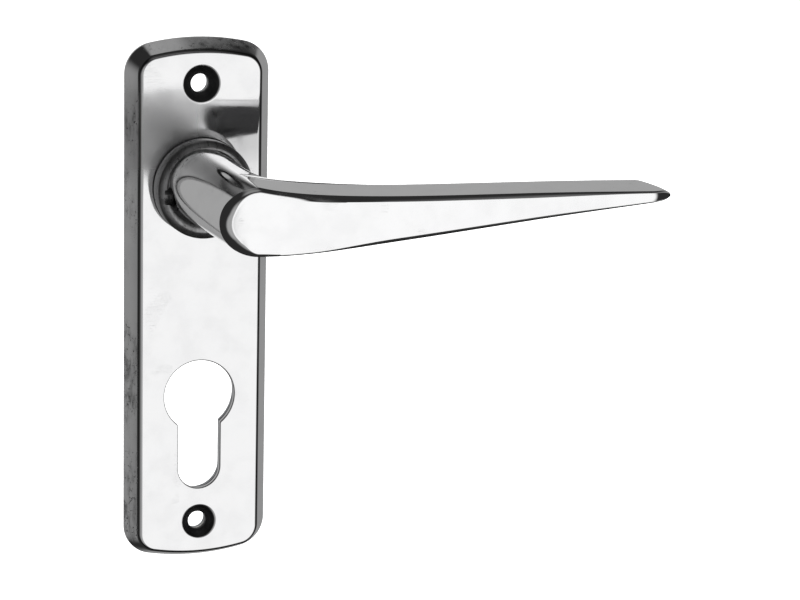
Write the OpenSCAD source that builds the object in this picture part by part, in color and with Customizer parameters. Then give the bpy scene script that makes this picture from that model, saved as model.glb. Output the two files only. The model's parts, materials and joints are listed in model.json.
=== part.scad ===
// Door lever handle on a long backplate, for a euro-profile cylinder lock.
// Frame: +X towards the lever's tip, +Z up, -Y out of the door into the room. The origin is the point
// where the spindle's axis meets the door's face, so the backplate's rim lies in the plane y = 0.
// Distances called "out" are measured from the door's face along -Y; a negative one is inside the door.

/* [Backplate] */
// Width of the backplate
plate_w = 38; // [37:0.5:46]
// Height of the backplate above the spindle axis
plate_up = 38; // [37.5:0.5:60]
// Depth of the backplate below the spindle axis
plate_down = 99; // [98:0.5:130]
// Distance from the door to the backplate's front face
plate_d = 4.8; // [4.7:0.1:9]
// Thickness of the pressed sheet
sheet_t = 1.2; // [0.8:0.1:1.4]
// Radius of the backplate's corners
corner_r = 8; // [7:0.5:10]
// Radius of the arched top and bottom edges
end_r = 62; // [50:1:200]
// Inset of the front face from the rim, all round
face_inset = 4; // [3.2:0.1:4.4]
// Radius of the rolled edge round the front face
roll_r = 1.9; // [1:0.1:2.4]
// Height of the upright rim that meets the door
rim_h = 0.7; // [0.4:0.1:1]

/* [Screws and cylinder] */
// Height of the top fixing screw above the spindle axis
screw_up = 26.5; // [25:0.5:45]
// Depth of the bottom fixing screw below the spindle axis
screw_down = 89; // [87:0.5:115]
// Clearance hole for a fixing screw
screw_hole_d = 4.8; // [3.6:0.1:5.2]
// Width of the top countersink at the front face
sink_up_d = 9.7; // [8:0.1:10]
// Width of the bottom countersink at the front face
sink_down_d = 8.9; // [8:0.1:10]
// Depth of the countersink
sink_deep = 1.5; // [1.2:0.1:1.7]
// Distance from the spindle axis down to the cylinder's axis
cylinder_c = 55; // [52:1:60]
// Diameter of the round part of the cylinder hole
cylinder_d = 18.7; // [17.6:0.1:18.8]
// Width of the cylinder hole's slot
slot_w = 11.2; // [10.4:0.1:11.4]
// Overall height of the cylinder hole
cylinder_h = 34.2; // [33:0.1:34.5]

/* [Lever] */
// Distance from the spindle axis to the lever's tip
lever_l = 112; // [90:0.5:140]
// Distance from the door to the front of the lever
lever_out = 50; // [42:0.5:62]
// Depth of the blade from front to back
blade_d = 14; // [11:0.5:18]
// Height of the blade where it leaves the neck
blade_h = 18.1; // [16:0.1:18.8]
// Diameter of the neck above the collar
neck_d = 19.2; // [18.4:0.1:20.6]
// Diameter of the collar at the foot of the neck
collar_d = 25.2; // [24.6:0.1:26.4]
// Thickness of the collar
collar_t = 5; // [3.5:0.1:7]
// Diameter of the shank that turns in the bush
shank_d = 17; // [16:0.1:17.2]

/* [Spindle and fastenings] */
// Side of the square spindle
spindle_w = 8; // [7:0.5:8]
// Length of spindle behind the door's face
spindle_behind = 45; // [20:1:70]
// Length of spindle in front of the door's face
spindle_front = 36; // [22:1:40]
// Diameter of the grub screw
grub_d = 6; // [5:0.5:6]
// Length of the grub screw
grub_l = 5; // [4:0.5:5.5]
// Distance of the grub screw below the spindle's axis
grub_drop = 1.4; // [0:0.1:1.5]

/* [Return mechanism] */
// How far the lever turns down, in degrees
turn = 45; // [30:1:50]
// Thickness of the steel inner plate
inner_t = 1.2; // [1:0.1:1.4]
// Thickness of the steel drive disc
disc_t = 1.2; // [1:0.1:2]
// Thickness of the nylon thrust washer
thrust_t = 0.5; // [0.3:0.1:1]
// Overall height of the wave washer
wave_h = 0.6; // [0.4:0.1:1]
// Thickness of the circlip
clip_t = 1; // [0.8:0.1:1.2]
// Wire of the return spring
wire_d = 0.8; // [0.6:0.1:0.9]

/* [Hidden] */
$fn = 96;
corner_n = 12;    // facets of a corner of the outline
end_n = 12;       // facets of an arched end
cut = 1;          // how far a cutting shape runs past what it cuts

// Fits
run_gap = 0.08;   // radial clearance of the shank in its bush, and end play of the turning parts
push_gap = 0.05;  // radial clearance of pieces that are pushed together
clip_gap = 0.02;  // radial clearance of the circlip on its groove's floor
loose_gap = 0.3;  // room round pieces that must never touch

// Backplate section: the rim rises rim_h, a straight bevel leans in, and an arc rolls over to the face
face_back = plate_d - sheet_t;
roll_c = plate_d - roll_r;
bevel_reach = sqrt(face_inset ^ 2 + (roll_c - rim_h) ^ 2);
bevel_angle = atan2(roll_c - rim_h, face_inset) + asin(roll_r / bevel_reach);
bevel_run = 1 / tan(bevel_angle);
wall_foot = 0.25; // how far up the inside of the rim stands upright
roll_steps = 6;
layer = 0.01;     // thickness of the slices that a hull spans

// Bush
bush_wall = 1.42;
bush_flange_t = 0.45;
bush_flange_side = 3.3;
bush_bore_r = shank_d / 2 + run_gap;
bush_r = bush_bore_r + bush_wall;
bush_hole_r = bush_r + push_gap;

// Stack along the spindle: room side of the collar, then behind the inner plate
collar_back = plate_d + bush_flange_t + run_gap;
collar_front = collar_back + collar_t;
thrust_front = -run_gap;
disc_front = thrust_front - thrust_t;
wave_front = disc_front - disc_t;
clip_front = wave_front - wave_h;
clip_back = clip_front - clip_t;
shank_tail = 0.9;               // length of shank behind the circlip
shank_end = clip_back - shank_tail;
shank_chamfer = 0.4;
groove_deep = 0.45;
groove_side = 0.03;
flat_deep = 1.5;
flat_half = shank_d / 2 - flat_deep;

// Collar
collar_chamfer_in = 1.6;
collar_chamfer_out = 0.85;

// Travel stop: the drive disc's tab runs in an arc slot of the inner plate
disc_lap = 2.2;                 // how far the disc reaches past the bush
disc_r = bush_r + disc_lap;
tab_w = 3.2;
tab_t = 1.2;
tab_reach = 1.8;                // how far the tab stands out from the disc
tab_r = disc_r + tab_reach;
tab_room = 0.4;                 // between the tab's end and the cover
tab_tip = face_back - tab_room;
slot_side = 0.1;                // room between the tab and the ends of its slot
slot_in = tab_r - tab_t - loose_gap;
slot_out = tab_r + loose_gap;

// Return spring
coil_r = bush_r + loose_gap + wire_d / 2;
coil_turns = 1.25;
coil_end_gap = 0.1;
coil_front = face_back - coil_end_gap - wire_d / 2;
coil_rear = inner_t + coil_end_gap + wire_d / 2;
leg_past = 0.3;                 // how far the front leg reaches past the tab
leg_r = tab_r + leg_past;
leg_angle = -turn / 2 + asin((tab_w / 2 + wire_d / 2 + push_gap) / coil_r);
foot_turn = 2 * wire_d;         // degrees over which the wire bends back into the inner plate
foot_angle = leg_angle - 360 * coil_turns - foot_turn;
foot_end = 0.2;
coil_step = 15;
wire_sides = 8;

// Cylinder hole
cylinder_low = -cylinder_c + cylinder_d / 2 - cylinder_h;
inner_clear = 0.8;              // how far the inner plate stands back from the cylinder hole

// Screw dimples: the sheet is pressed back round each countersink
dimple_back = face_back - sink_deep;
dimple_foot = 0.4;
dimple_side = 1.4;
spacer_r = 4.5;
spacer_gap = 0.2;
spacer_hole_r = screw_hole_d / 2 + spacer_gap;

// Spindle
spindle_edge = 0.6;
bore_past = 1;                  // how far the lever's bore runs past the spindle's end
bore_gap = 0.05;

// Grub screw
grub_up = 2.3;                  // distance of the grub screw's axis above the collar
grub_out = collar_front + grub_up;
grub_socket_w = grub_d / 2;
grub_socket_deep = 2.6;

// Washers and circlip
thrust_inset = 0.4;             // how far the thrust washer stays inside the disc
wave_side = 0.15;
wave_w = 2.4;
waves = 3;
wave_steps = 48;
clip_w = 2;
clip_shift = 0.5;               // the ring is thickest on top, opposite its gap
clip_opening = 2.2;
lug_r = 1.7;
lug_x = 2.7;
lug_hole_r = 0.75;
lug_hole_drop = 0.2;

// Lever: rings of points stacked out of the door, from the neck to the front of the blade
neck_r = neck_d / 2;
root_r = blade_h / 2;
tip_l = 3.6;                    // length of the rounded tip
root_drop = 0.45;               // how far the middle of the blade's root lies below the axis
tip_back = 2.8;                 // how much shorter the back of the blade is than its front
blade_back = lever_out - blade_d;
fillet_r = 12;                  // fillet between the neck and the back of the blade
top_lift = 0.95;                // how much higher the blade's top is at its back edge
undercut = 0.35;                // share of the blade's height that its back edge loses underneath
back_round = 1.2;               // rounding of the blade's back edge
back_lean = 0.08;               // how far the flat back leans forward from its root
root_round = 2.6;               // rounding of the front edge at the root
edge_round = 2.2;               // rounding of the front edge along the blade
round_deep = 1.9;               // how far that rounding reaches back
reach = [0, 0.204, 0.519, 1];   // control values of three cubic curves along the blade
top_line = [0.475, 0.126, 0.229, 0.133];
low_line = [-0.525, -0.567, -0.284, -0.019];
root_n = 24;
edge_n = 20;
tip_n = 8;
ring_n = root_n + 2 * edge_n + tip_n;

// A slice of a flat outline, drawn with X across and Z up, between two distances out of the door
module slab(from, to) {
    rotate([90, 0, 0]) translate([0, 0, from]) linear_extrude(to - from) children();
}

// A round bar along the spindle's axis
module rod(r, from, to) {
    rotate([90, 0, 0]) translate([0, 0, from]) cylinder(r = r, h = to - from);
}

// A cone along Y, of radius r_from at one distance out of the door and r_to at the other
module cone(r_from, from, r_to, to) {
    rotate([90, 0, 0]) translate([0, 0, from]) cylinder(r1 = r_from, r2 = r_to, h = to - from);
}

// Points along an arc
function arc(x, z, r, from, to, n) = [for (k = [0 : n]) let (a = from + (to - from) * k / n)
    [x + r * cos(a), z + r * sin(a)]];

// The backplate's outline, drawn in by an inset: two straight sides, four corners and two arched ends
module outline(inset) {
    r = corner_r - inset;
    big_r = end_r - inset;
    x = plate_w / 2 - corner_r;
    rise = sqrt((big_r - r) ^ 2 - x ^ 2);
    up_c = plate_up - end_r;
    low_c = end_r - plate_down;
    turn_in = atan2(rise, x);
    polygon(concat(
        arc(x, up_c + rise, r, 0, turn_in, corner_n),
        arc(0, up_c, big_r, turn_in, 180 - turn_in, end_n),
        arc(-x, up_c + rise, r, 180 - turn_in, 180, corner_n),
        arc(-x, low_c - rise, r, 180, 180 + turn_in, corner_n),
        arc(0, low_c, big_r, 180 + turn_in, 360 - turn_in, end_n),
        arc(x, low_c - rise, r, 360 - turn_in, 360, corner_n)));
}

// Inset of the cover's inner wall at a distance out of the door
function wall_inset(out) = sheet_t + max(0, out - wall_foot) * bevel_run;

// The cylinder hole, widened by a margin
module cylinder_hole(margin) {
    w = slot_w + 2 * margin;
    low = cylinder_low - margin + w / 2;
    translate([0, -cylinder_c]) circle(cylinder_d / 2 + margin);
    translate([-w / 2, low]) square([w, -cylinder_c - low]);
    translate([0, low]) circle(w / 2);
}

// Height and countersink of each fixing screw
screws = [[screw_up, sink_up_d], [-screw_down, sink_down_d]];

module backplate() {
    color("gainsboro") difference() {
        union() {
            slab(0, rim_h) outline(0);
            hull() {
                slab(rim_h, rim_h + layer) outline(0);
                for (i = [0 : roll_steps]) {
                    lean = bevel_angle * i / roll_steps;
                    top = roll_c + roll_r * cos(lean);
                    slab(top - layer, top) outline(face_inset - roll_r * sin(lean));
                }
            }
        }
        difference() {
            hull() {
                slab(-cut, wall_foot) outline(sheet_t);
                slab(face_back - layer, face_back) outline(wall_inset(face_back));
            }
            for (q = screws) translate([0, 0, q[0]])
                cone(q[1] / 2 - dimple_foot, dimple_back, q[1] / 2 + dimple_side, face_back + layer);
        }
        slab(0, plate_d + cut) cylinder_hole(0);
        rod(bush_hole_r, 0, plate_d + cut);
        for (q = screws) translate([0, 0, q[0]]) {
            rod(screw_hole_d / 2, 0, plate_d + cut);
            cone(screw_hole_d / 2, plate_d - sink_deep, q[1] / 2, plate_d);
            rod(q[1] / 2, plate_d, plate_d + cut);
        }
    }
}

// The arc slot that the drive disc's tab runs in; its two ends are the lever's stops
module tab_slot() {
    half = tab_w / 2 + slot_side;
    far = 2 * slot_out;
    intersection() {
        difference() {
            circle(slot_out);
            circle(slot_in);
        }
        union() {
            polygon([[0, 0], [-far * sin(turn / 2), far * cos(turn / 2)],
                [far * sin(turn / 2), far * cos(turn / 2)]]);
            for (side = [-1, 1])
                rotate(side * turn / 2) translate([-half, 0]) square([2 * half, far]);
        }
    }
}

module inner_plate() {
    color("silver") slab(0, inner_t) difference() {
        outline(wall_inset(inner_t) + push_gap);
        cylinder_hole(inner_clear);
        circle(bush_hole_r);
        tab_slot();
        for (z = [screw_up, -screw_down]) translate([0, z]) circle(spacer_hole_r);
        rotate(-foot_angle) translate([0, coil_r]) circle(wire_d / 2 + slot_side);
    }
}

module neck_bush() {
    color("dimgray") difference() {
        union() {
            rod(bush_r, 0, plate_d);
            rod(bush_r + bush_flange_side / 2, plate_d, plate_d + bush_flange_t);
        }
        rod(bush_bore_r, -cut, plate_d + cut);
    }
}

module screw_spacer(z) {
    color("whitesmoke") translate([0, 0, z]) difference() {
        rod(spacer_r, inner_t, dimple_back);
        rod(spacer_hole_r, 0, plate_d);
    }
}

// A cubic curve through its first and last value
function bend(p, t) = p[0] * (1 - t) ^ 3 + 3 * p[1] * t * (1 - t) ^ 2 + 3 * p[2] * t ^ 2 * (1 - t)
    + p[3] * t ^ 3;

// Half a height drawn in by an inset, so that a thin blade never turns inside out
function drawn_in(h, inset) = h * h / (h + inset);

// One point of the blade's outline, from x = 0 (t = 0) to the tip (t = 1), side 1 on top and -1 below.
// Front runs from 0 at the blade's back to 1 at its front.
function blade_point(t, side, front, inset) =
    let (mid = blade_h * (bend(top_line, t) + bend(low_line, t)) / 2,
        half = blade_h * (bend(top_line, t) - bend(low_line, t)) / 2,
        run = lever_l - tip_l - tip_back * (1 - front) ^ 2,
        ramp = 1 - (1 - t) ^ 4,
        shift = (1 - front) * ramp * (side > 0 ? top_lift : 2 * half * undercut))
    [run * bend(reach, t), mid + shift + side * drawn_in(half, inset)];

// The blade's rounded tip joins its two edges; a runs from -90 below to 90 on top
function tip_point(a, front, inset) =
    let (low = blade_point(1, -1, front, inset), top = blade_point(1, 1, front, inset))
    [low[0] + (tip_l - inset / 2) * cos(a), (low[1] + top[1]) / 2 + sin(a) * (top[1] - low[1]) / 2];

// A ring: the round root, then the lower edge, the tip and the top edge
// spread = 0 keeps it round, as on the neck, and 1 gives the whole blade
function ring_point(i, out, spread, front, inset, edge_inset, way) =
    let (e = i - root_n, f = e - edge_n, g = f - tip_n,
        r = drawn_in(neck_r + (root_r - neck_r) * way, inset), drop = root_drop * way)
    e < 0 ? let (a = 90 + 180 * i / root_n) [r * cos(a), -out, r * sin(a) - drop]
    : f < 0 ? mixed(spread, 270 + 70 * e / edge_n, blade_point(e / edge_n, -1, front, edge_inset),
        out, r, drop, inset, -1, e / edge_n)
    : g < 0 ? mixed(spread, -20 + 40 * f / tip_n, tip_point(-90 + 180 * f / tip_n, front, edge_inset),
        out, r, drop, inset, 1, 1)
    : mixed(spread, 20 + 70 * g / edge_n, blade_point(1 - g / edge_n, 1, front, edge_inset),
        out, r, drop, inset, 1, 1 - g / edge_n);

// Mixes a point of the round neck with a point of the blade's outline; near the root the blade's
// edges are eased out to the neck's own radius
function mixed(spread, a, p, out, r, drop, inset, side, t) =
    let (step = side * r - drop - blade_point(0, side, 1, inset)[1])
    [(1 - spread) * r * cos(a) + spread * p[0], -out,
        (1 - spread) * (r * sin(a) - drop) + spread * (p[1] + step * (1 - t) ^ 4)];

// Rings from the collar to the front: out, spread, front, inset, edge inset
function lever_rings() = concat(
    [[collar_front - cut, 0, 0, 0, 0]],
    [for (a = [0 : 15 : 75]) [blade_back - fillet_r * (1 - sin(a)), fillet_r * (1 - cos(a)) / lever_l,
        0, 0, back_round]],
    [[blade_back - back_lean, fillet_r * 1.25 / lever_l, 0, 0, back_round]],
    [for (a = [0 : 30 : 90]) let (deep = back_round * (1 - cos(a)))
        [blade_back + deep, 1, deep / blade_d, 0, back_round * (1 - sin(a))]],
    [for (front = [0.3, 0.6]) [blade_back + front * blade_d, 1, front, 0, 0]],
    [for (a = [0 : 30 : 90]) let (deep = round_deep * (1 - sin(a)), draw = 1 - cos(a))
        [lever_out - deep, 1, 1 - deep / blade_d, root_round * draw, edge_round * draw]]);

module lever_skin() {
    rings = lever_rings();
    n = len(rings);
    points = [for (q = rings) let (way = (q[0] - collar_front) / (lever_out - collar_front))
        for (i = [0 : ring_n - 1])
            ring_point(i, q[0], q[1], q[2], q[3], q[4], way)];
    walls = [for (k = [0 : n - 2], i = [0 : ring_n - 1])
        let (j = (i + 1) % ring_n, a = k * ring_n, b = a + ring_n)
        each [[a + i, b + j, a + j], [a + i, b + i, b + j]]];
    caps = [[for (i = [0 : ring_n - 1]) i], [for (i = [ring_n - 1 : -1 : 0]) (n - 1) * ring_n + i]];
    polyhedron(points, concat(walls, caps));
}

// The collar, the foot of the neck and the shank are turned about the spindle's axis
module lever_turned() {
    rotate([90, 0, 0]) rotate_extrude() polygon([[0, shank_end], [shank_d / 2 - shank_chamfer, shank_end],
        [shank_d / 2, shank_end + shank_chamfer], [shank_d / 2, collar_back], [collar_d / 2, collar_back],
        [collar_d / 2, collar_front - collar_chamfer_out],
        [collar_d / 2 - collar_chamfer_in, collar_front], [0, collar_front]]);
}

module lever() {
    bore = spindle_w + 2 * bore_gap;
    color("lightgray") difference() {
        union() {
            lever_turned();
            lever_skin();
        }
        slab(shank_end - cut, spindle_front + bore_past) square(bore, center = true);
        // flats that carry the drive disc
        slab(shank_end - cut, disc_front) for (side = [-1, 1])
            translate([side * (flat_half + cut * 2), 0]) square([4 * cut, shank_d + cut], center = true);
        // groove of the circlip
        difference() {
            rod(shank_d / 2 + cut, clip_back - groove_side, clip_front + groove_side);
            rod(shank_d / 2 - groove_deep, clip_back - cut, clip_front + cut);
        }
        translate([0, -grub_out, -grub_drop]) rotate([0, -90, 0]) cylinder(d = grub_d, h = collar_d);
    }
}

module grub_screw() {
    color("dimgray") translate([-spindle_w / 2, -grub_out, -grub_drop]) rotate([0, -90, 0]) difference() {
        cylinder(d = grub_d - 2 * push_gap, h = grub_l);
        translate([0, 0, grub_l - grub_socket_deep])
            cylinder(d = grub_socket_w / cos(30), h = grub_socket_deep + cut, $fn = 6);
    }
}

module spindle() {
    half = spindle_w / 2;
    color("darkgray") slab(-spindle_behind, spindle_front) polygon([for (q = [[1, 1], [-1, 1], [-1, -1],
        [1, -1]], k = [0, 1]) let (first = q[0] == q[1] ? k == 0 : k == 1)
        [q[0] * (half - (first ? 0 : spindle_edge)), q[1] * (half - (first ? spindle_edge : 0))]]);
}

// A point on the spring, at an angle from straight up towards +X
function around(angle, r, out) = [r * sin(angle), -out, r * cos(angle)];

// A straight leg to the tab, the coil round the bush, and a leg back into the inner plate
function spring_path() = let (steps = 360 * coil_turns / coil_step) concat(
    [around(leg_angle, leg_r, coil_front), around(leg_angle, coil_r + wire_d, coil_front)],
    [for (k = [1 : steps]) around(leg_angle - k * coil_step, coil_r,
        coil_front + (coil_rear - coil_front) * k / steps)],
    [for (out = [coil_rear - wire_d / 2, foot_end]) around(foot_angle, coil_r, out)]);

function unit(v) = v / norm(v);

// A tube of round section along a path
module wire(path, d) {
    n = len(path);
    points = [for (k = [0 : n - 1])
        let (along = unit(path[min(k + 1, n - 1)] - path[max(k - 1, 0)]),
            side = unit(cross(along, abs(along[1]) > 0.9 ? [0, 0, 1] : [0, 1, 0])),
            over = cross(along, side))
        for (i = [0 : wire_sides - 1]) let (a = 360 * i / wire_sides)
            path[k] + d / 2 * (cos(a) * side + sin(a) * over)];
    walls = [for (k = [0 : n - 2], i = [0 : wire_sides - 1])
        let (j = (i + 1) % wire_sides, a = k * wire_sides, b = a + wire_sides)
        each [[a + i, a + j, b + j], [a + i, b + j, b + i]]];
    caps = [[for (i = [wire_sides - 1 : -1 : 0]) i],
        [for (i = [0 : wire_sides - 1]) (n - 1) * wire_sides + i]];
    polyhedron(points, concat(walls, caps));
}

module return_spring() {
    color("gray") wire(spring_path(), wire_d);
}

module drive_disc() {
    color("silver") rotate([0, -turn / 2, 0]) {
        difference() {
            union() {
                rod(disc_r, wave_front, disc_front);
                slab(wave_front, disc_front) translate([-tab_w / 2, 0]) square([tab_w, tab_r]);
                slab(wave_front, tab_tip) translate([-tab_w / 2, tab_r - tab_t]) square([tab_w, tab_t]);
            }
            rotate([0, turn / 2, 0]) slab(wave_front - cut, disc_front + cut) intersection() {
                circle(shank_d / 2 + push_gap);
                square([2 * (flat_half + push_gap), shank_d * 2], center = true);
            }
        }
    }
}

module thrust_washer() {
    color("whitesmoke") difference() {
        rod(disc_r - thrust_inset, disc_front, thrust_front);
        rod(shank_d / 2 + push_gap, disc_front - cut, thrust_front + cut);
    }
}

// A spring washer pressed into waves
module wave_washer() {
    inner = shank_d / 2 + wave_side;
    outer = inner + wave_w;
    sheet = wave_h / 2;
    points = [for (k = [0 : wave_steps - 1]) let (a = 360 * k / wave_steps,
            low = wave_front - wave_h + (wave_h - sheet) * (1 + sin(waves * a)) / 2)
        each [around(a, inner, low), around(a, outer, low), around(a, outer, low + sheet),
            around(a, inner, low + sheet)]];
    walls = [for (k = [0 : wave_steps - 1], i = [0 : 3])
        let (a = 4 * k, b = 4 * ((k + 1) % wave_steps), j = (i + 1) % 4)
        each [[a + i, b + j, a + j], [a + i, b + i, b + j]]];
    color("gray") polyhedron(points, walls);
}

// A retaining ring with two lugs for pliers
module circlip() {
    inner = shank_d / 2 - groove_deep + clip_gap;
    color("dimgray") slab(clip_back, clip_front) difference() {
        union() {
            translate([0, clip_shift]) circle(inner + clip_w);
            for (side = [-1, 1]) translate([side * lug_x, -inner - lug_r]) circle(lug_r);
        }
        circle(inner);
        translate([-clip_opening / 2, -2 * inner]) square([clip_opening, 2 * inner]);
        for (side = [-1, 1]) translate([side * lug_x, -inner - lug_r - lug_hole_drop]) circle(lug_hole_r);
    }
}

backplate();
inner_plate();
neck_bush();
screw_spacer(screw_up);  // screw_spacer_top
screw_spacer(-screw_down);  // screw_spacer_bottom
lever();
grub_screw();
spindle();
return_spring();
drive_disc();
thrust_washer();
wave_washer();
circlip();
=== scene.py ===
# %% [markdown]
# # A door lever handle, polished and ready to hang
# This lesson dresses the working model of a lever handle on a long backplate. The frame holds each part
# at its true size and place, so the work here is the cover's pressed sheet, the cast lever's smooth
# surface, and finishes that look like aluminium buffed by hand, cut steel, spring wire and nylon.

# %% Open the frame
import json
import math

import bmesh
import bpy
from mathutils import Matrix, Vector


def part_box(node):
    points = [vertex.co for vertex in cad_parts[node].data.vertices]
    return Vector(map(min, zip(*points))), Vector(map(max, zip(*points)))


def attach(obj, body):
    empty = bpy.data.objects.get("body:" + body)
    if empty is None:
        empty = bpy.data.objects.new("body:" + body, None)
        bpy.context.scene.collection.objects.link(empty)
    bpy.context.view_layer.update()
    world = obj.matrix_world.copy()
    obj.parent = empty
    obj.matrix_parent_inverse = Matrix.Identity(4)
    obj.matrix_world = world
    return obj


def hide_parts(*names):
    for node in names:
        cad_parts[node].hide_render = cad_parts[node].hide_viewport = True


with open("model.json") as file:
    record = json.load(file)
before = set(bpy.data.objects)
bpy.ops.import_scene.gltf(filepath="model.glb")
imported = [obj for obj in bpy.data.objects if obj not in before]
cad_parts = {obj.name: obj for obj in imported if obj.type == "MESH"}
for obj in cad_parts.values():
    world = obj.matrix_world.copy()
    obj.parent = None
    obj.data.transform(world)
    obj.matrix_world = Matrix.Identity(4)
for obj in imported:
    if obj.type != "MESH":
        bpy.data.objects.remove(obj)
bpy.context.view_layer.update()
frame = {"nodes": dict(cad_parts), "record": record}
record = frame["record"]
scene = bpy.context.scene
mm = 0.001
print("nodes in the frame:", sorted(frame["nodes"]))

# %% [markdown]
# ## Finishing a piece
# Every new piece ends the same way: the bmesh becomes an object at the origin, its faces are smooth
# except at real edges, and it rides on a body of the frame. A helper does that once. Nothing is built
# on its side and turned later, because a pattern on Object coordinates would turn with it.

# %% Turn a bmesh into a piece of the handle
sharp_edge = math.radians(38)


def finish_piece(bm, name, body, slot, *stands_for):
    """Makes an object of bm, shades it smooth up to sharp_edge and sets it on its body."""
    bmesh.ops.remove_doubles(bm, verts=bm.verts, dist=0.0005 * mm)
    bmesh.ops.recalc_face_normals(bm, faces=bm.faces)
    open_edges = sum(1 for e in bm.edges if len(e.link_faces) != 2)
    mesh = bpy.data.meshes.new(name)
    bm.to_mesh(mesh)
    bm.free()
    mesh.shade_smooth()
    mesh.set_sharp_from_angle(angle=sharp_edge)
    piece = bpy.data.objects.new(name, mesh)
    scene.collection.objects.link(piece)
    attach(piece, body)
    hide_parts(*stands_for)
    print(name, "has", len(mesh.polygons), "faces and", open_edges, "open edges")
    return piece


# %% [markdown]
# Outlines are drawn as a draughtsman would, by moving a point: a spin carries it through an arc, and
# short extrusions carry it along a straight. The plate is the same on its left and its right, so only
# the right half is drawn and a mirror gives the other. A curve object could be used instead, but then
# its steps would not line up from one contour to the next.

# %% Draw arcs and runs point by point, in a plane parallel to the door
def arc_from(bm, vert, x, z, degrees, steps):
    """Spins a point about (x, z), anticlockwise as seen from the room, and returns the last point."""
    centre = (x, vert.co.y, z)
    made = bmesh.ops.spin(bm, geom=[vert], cent=centre, axis=(0, -1, 0), angle=math.radians(degrees),
                          steps=steps, use_duplicate=False)
    return next(g for g in made["geom_last"] if isinstance(g, bmesh.types.BMVert))


def run_from(bm, vert, z, steps):
    """Extrudes a point straight up to height z in short steps, and returns the last point."""
    start = vert.co.z
    for k in range(1, steps + 1):
        vert = bmesh.ops.extrude_vert_indiv(bm, verts=[vert])["verts"][0]
        vert.co.z = start + (z - start) * k / steps
    return vert


def mirrored_loop(bm, draw):
    """Runs draw, which makes the right half of a loop, mirrors it, and returns the whole loop's edges."""
    before = set(bm.edges)
    draw()
    half = [e for e in bm.edges if e not in before]
    verts = list({v for e in half for v in e.verts})
    bmesh.ops.mirror(bm, geom=verts + half, matrix=Matrix.Identity(4), axis="X")
    ends = {v for e in bm.edges if e not in before for v in e.verts if abs(v.co.x) < 0.001 * mm}
    bmesh.ops.remove_doubles(bm, verts=list(ends), dist=0.01 * mm)
    return [e for e in bm.edges if e not in before]


def bridge(bm, loops):
    """Joins each loop to the next one with a band of faces. Two loops in one plane could be joined
    across instead of round, so the second one is lifted while they are joined."""
    lift = Vector((0, -5 * mm, 0))
    for first, second in zip(loops, loops[1:]):
        lifted = list({v for e in second for v in e.verts})
        bmesh.ops.translate(bm, vec=lift, verts=lifted)
        bmesh.ops.bridge_loops(bm, edges=first + second)
        bmesh.ops.translate(bm, vec=-lift, verts=lifted)


# %% [markdown]
# ## The backplate's cover
# The real cover is one sheet of aluminium, pressed so that its border leans back to the door, its edge
# rolls softly into the face, and the sheet dips round each screw. A cube with a bevel can't give the
# arched ends or an even wall. Here each contour of the pressing is drawn as a closed loop of arcs, and
# the loops are bridged from the rim, over the roll to the face, and back down the inside of the sheet.

# %% Measure the cover and name its pressing
plate_low, plate_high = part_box("backplate")
half_width = plate_high.x
face_out = -plate_low.y
sheet = 1.2 * mm
back_of_sheet = face_out - sheet
corner_radius = 8 * mm
arch_radius = 62 * mm
face_inset = 4 * mm
roll_radius = 1.9 * mm
rim_height = 0.7 * mm
rim_round = 0.5 * mm
bottom_narrowing = 0.42
print("the cover's face is", round(face_out / mm, 1), "mm out of the door")

roll_centre = face_out - roll_radius
to_roll = math.hypot(face_inset, roll_centre - rim_height)
bevel_lean = math.atan2(roll_centre - rim_height, face_inset) + math.asin(roll_radius / to_roll)
print("its border leans", round(math.degrees(bevel_lean), 1), "degrees back from the face")


# %% Draw one contour of the cover
def outline(bm, inset, out):
    """The cover's outline, drawn in by inset, at a distance out of the door. The lower border is
    narrower than the others, so the outline is drawn in less there."""
    corner, arch = corner_radius - inset, arch_radius - inset
    across = half_width - corner_radius
    rise = math.sqrt((arch - corner) ** 2 - across ** 2)
    lean = math.degrees(math.atan2(rise, across))
    low, high = plate_low.z + arch_radius - bottom_narrowing * inset, plate_high.z - arch_radius

    def right_half():
        v = bm.verts.new((0, -out, low - arch))
        v = arc_from(bm, v, 0, low, 90 - lean, 8)
        v = arc_from(bm, v, across, low - rise, lean, 20)
        v = run_from(bm, v, high + rise, 16)
        v = arc_from(bm, v, across, high + rise, lean, 20)
        arc_from(bm, v, 0, high, 90 - lean, 8)

    return mirrored_loop(bm, right_half)


# %% List the contours of the pressing, outside and inside
def turned(count, start, end):
    """Evenly spaced angles from start to end, both included."""
    return [start + (end - start) * i / count for i in range(count + 1)]


rim_rise = (1 - math.sin(bevel_lean)) * math.tan(bevel_lean) - math.cos(bevel_lean)
rim_centre = rim_height + rim_round * rim_rise
outside = [(0, 0)]
outside += [(rim_round * (1 - math.sin(a)), rim_centre + rim_round * math.cos(a))
            for a in turned(4, math.pi / 2, bevel_lean)]
outside += [(face_inset - roll_radius * math.sin(a), roll_centre + roll_radius * math.cos(a))
            for a in turned(14, bevel_lean, 0)]
flat_margin = 0.15 * mm
outside += [(face_inset + flat_margin, face_out)]

inner_roll = roll_radius - sheet
inner_foot = rim_height - (sheet / math.sin(bevel_lean) - sheet) * math.tan(bevel_lean)
inside = [(face_inset + flat_margin, back_of_sheet)]
inside += [(face_inset - inner_roll * math.sin(a), roll_centre + inner_roll * math.cos(a))
           for a in turned(6, 0, bevel_lean)]
inside += [(sheet, inner_foot), (sheet, 0)]
print(len(outside) + len(inside), "contours make the sheet")

# %% [markdown]
# ## The cylinder's cut-out and the screw dimples
# The cut-out is a keyhole shape: a round for the lock cylinder's barrel and a slot for its tail, with
# a small radius where they meet. The press leaves its front edge slightly rounded, which is what draws
# the thin dark line round the hole, so a few closely spaced contours roll that edge.

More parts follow.
